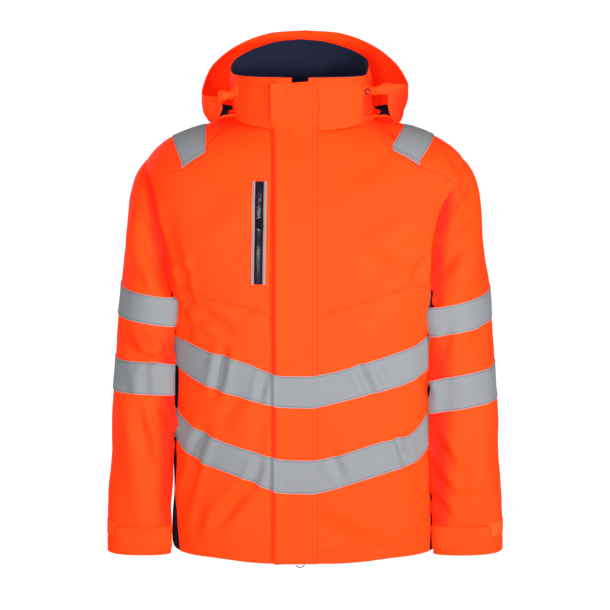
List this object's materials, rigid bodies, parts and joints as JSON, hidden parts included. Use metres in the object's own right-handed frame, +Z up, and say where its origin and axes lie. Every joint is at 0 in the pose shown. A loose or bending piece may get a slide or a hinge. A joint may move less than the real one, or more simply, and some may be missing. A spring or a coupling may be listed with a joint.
{
  "type": "work jacket",
  "caption": "Hooded hi-vis work jacket, filled out as if worn and empty, with reflective tapes, front zip under a storm flap, chest pocket and cuff tabs.",
  "frame": {"origin": "between the shoulders at the height of the neck's sides, where the wearer carries the jacket", "axes": "+Z up, +X to the wearer's left, the front faces -Y"},
  "size_m": [0.6584, 0.3298, 0.857],
  "materials": {
    "orange_cloth": "matt hi-vis orange, woven shell",
    "navy_cloth": "matt navy, woven shell",
    "navy_fleece": "matt navy fleece",
    "reflective_tape": "grey retroreflective tape",
    "hook_patch": "orange hook-and-loop",
    "black_plastic": "matt black",
    "dark_rubber": "dark brown, moulded",
    "dark_steel": "dark coated metal"
  },
  "bodies": {
    "jacket": {"back": "orange_cloth", "chest_left": "orange_cloth", "chest_right": "orange_cloth", "collar": "orange_cloth", "collar_flap_left": "orange_cloth", "collar_flap_right": "orange_cloth", "collar_lining": "navy_fleece", "cord_end_left": "black_plastic", "cord_end_right": "black_plastic", "cuff_patch_left": "hook_patch", "cuff_patch_right": "hook_patch", "cuff_tab_left": "orange_cloth", "cuff_tab_right": "orange_cloth", "front_left": "orange_cloth", "front_right": "orange_cloth", "front_zip": "black_plastic", "hood": "orange_cloth", "hood_lining": "navy_fleece", "hood_tab_left": "orange_cloth", "hood_tab_right": "orange_cloth", "pocket_edge_inner": "reflective_tape", "pocket_edge_outer": "reflective_tape", "pocket_slider": "black_plastic", "pocket_zip": "black_plastic", "shoulder_patch_left": "reflective_tape", "shoulder_patch_right": "reflective_tape", "side_panel_left": "navy_cloth", "side_panel_right": "navy_cloth", "sleeve_left": "orange_cloth", "sleeve_right": "orange_cloth", "sleeve_tape_lower_left": "reflective_tape", "sleeve_tape_lower_right": "reflective_tape", "sleeve_tape_upper_left": "reflective_tape", "sleeve_tape_upper_right": "reflective_tape", "storm_flap": "orange_cloth", "tape_lower_back": "reflective_tape", "tape_lower_flap": "reflective_tape", "tape_lower_front_left": "reflective_tape", "tape_lower_front_right": "reflective_tape", "tape_upper_back": "reflective_tape", "tape_upper_flap": "reflective_tape", "tape_upper_front_left": "reflective_tape", "tape_upper_front_right": "reflective_tape", "yoke": "orange_cloth", "zip_lower_slider": "dark_steel"},
    "puller": {"pocket_puller": "dark_rubber"},
    "ring": {"zip_ring": "dark_steel"}
  },
  "joints": [
    {"name": "puller_swing", "type": "hinge", "parent": "jacket", "child": "puller", "pos_m": [-0.0726, -0.12272, -0.11877], "axis": [-0.9984, 0.0562, 0], "range_deg": [0, 90]},
    {"name": "ring_swing", "type": "hinge", "parent": "jacket", "child": "ring", "pos_m": [-0.0078, -0.12894, -0.6988], "axis": [1, 0, 0], "range_deg": [0, 75]}
  ]
}
